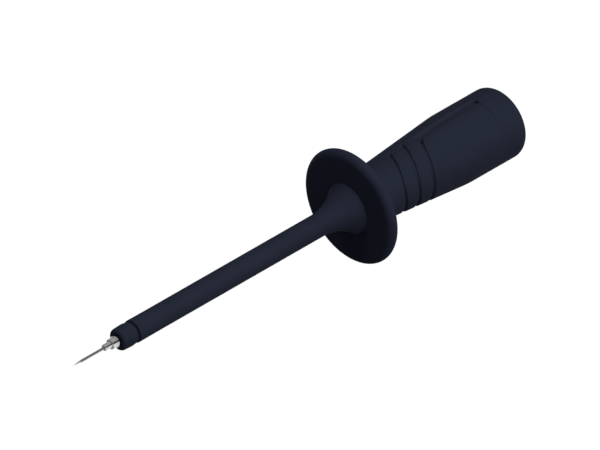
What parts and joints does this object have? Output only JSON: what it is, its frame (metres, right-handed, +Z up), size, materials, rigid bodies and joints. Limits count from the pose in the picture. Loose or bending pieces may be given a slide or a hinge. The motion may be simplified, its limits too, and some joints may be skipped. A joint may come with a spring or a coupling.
{
  "type": "safety test probe",
  "caption": "Hand-held test probe: spring-loaded needle, slim insulated shaft, round hand guard, grooved grip and a shrouded 4 mm socket in its rear end.",
  "frame": {"origin": "centre of the socket contact's mouth, inside the grip's rear end", "axes": "+X along the probe's axis, out of the rear socket, so the needle points to -X; +Z up, on the locking pin's side; -Y is the finger side with the grip's grooves"},
  "size_m": [0.1484, 0.0308, 0.0308],
  "materials": {
    "needle_steel": "satin hard nickel over steel, bright ground point",
    "spring_steel": "bright wire",
    "nickel_plate": "polished nickel plate",
    "liner_plastic": "waxy natural white",
    "shaft_plastic": "blue-black, satin",
    "seal_rubber": "matt black",
    "guard_plastic": "blue-black, satin",
    "grip_plastic": "blue-black, fine matt",
    "core_plastic": "dark grey, satin",
    "insert_plastic": "black, half gloss",
    "contact_nickel": "nickel over brass",
    "brass": "turned brass",
    "washer_steel": "zinc plate",
    "pin_steel": "dark steel"
  },
  "bodies": {
    "probe": {"needle_spring": "spring_steel", "needle_barrel": "nickel_plate", "needle_receptacle": "nickel_plate", "conductor_rod": "nickel_plate", "liner_tube": "liner_plastic", "nose_bush": "shaft_plastic", "nose_seal": "seal_rubber", "shaft_sleeve": "shaft_plastic", "hand_guard": "guard_plastic", "spring_washer": "washer_steel", "shaft_nut": "brass", "grip_core": "core_plastic", "grip_cover": "grip_plastic", "socket_insert": "insert_plastic", "socket_post": "insert_plastic", "socket_contact": "contact_nickel", "contact_washer": "washer_steel", "lock_nut": "brass", "lock_pin": "pin_steel"},
    "needle": {"needle": "needle_steel"}
  },
  "joints": [
    {"name": "needle_slide", "type": "slide", "parent": "probe", "child": "needle", "axis": [1, 0, 0], "range_m": [0, 0.004], "stiffness_N_per_m": 300, "springref_m": -0.0033, "deforming": ["needle_spring"]}
  ]
}
